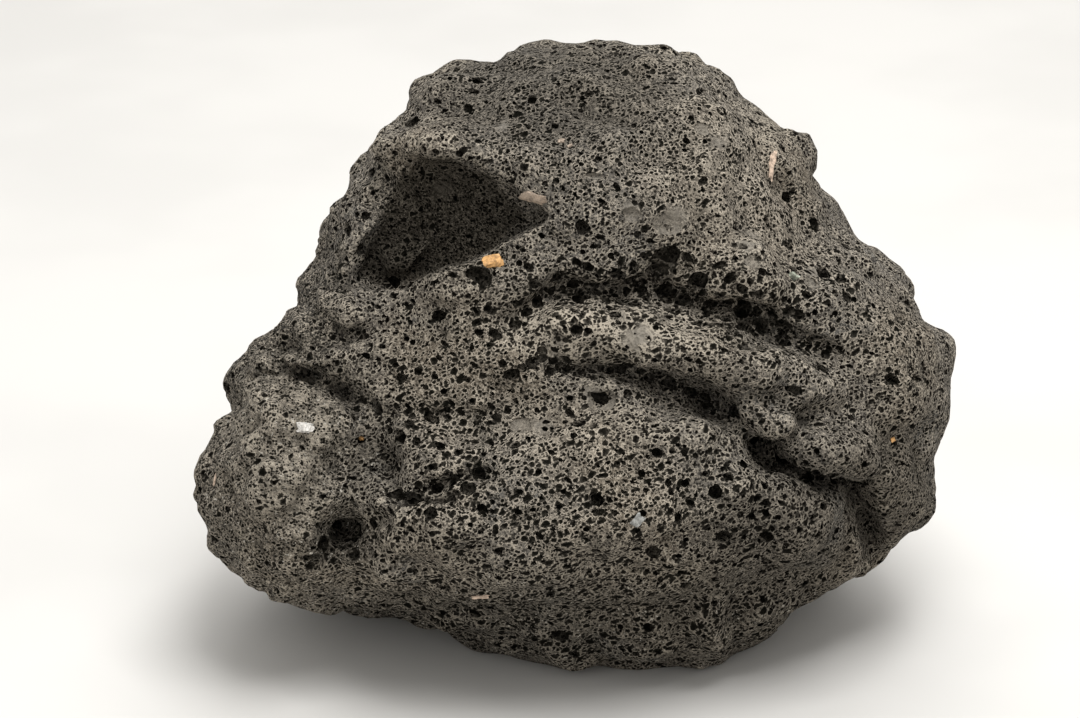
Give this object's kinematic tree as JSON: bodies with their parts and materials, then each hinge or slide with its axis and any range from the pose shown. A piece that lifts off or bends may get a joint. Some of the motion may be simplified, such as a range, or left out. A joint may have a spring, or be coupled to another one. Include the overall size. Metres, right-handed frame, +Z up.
{
  "type": "lava rock",
  "caption": "Loose lump of vesicular basalt with rolled lobes, a sheltered hollow and fissures, standing on a flat base.",
  "frame": {"origin": "on the ground, below the middle of the lump's bounds", "axes": "+Z up, -Y towards the broad face with the fissures and the sheltered hollow, +X to the right of that face"},
  "size_m": [0.173, 0.1362, 0.1345],
  "materials": {
    "stone": "matt, rough and full of gas-bubble pores"
  },
  "bodies": {
    "root": {"lava_rock": "stone"}
  },
  "joints": []
}
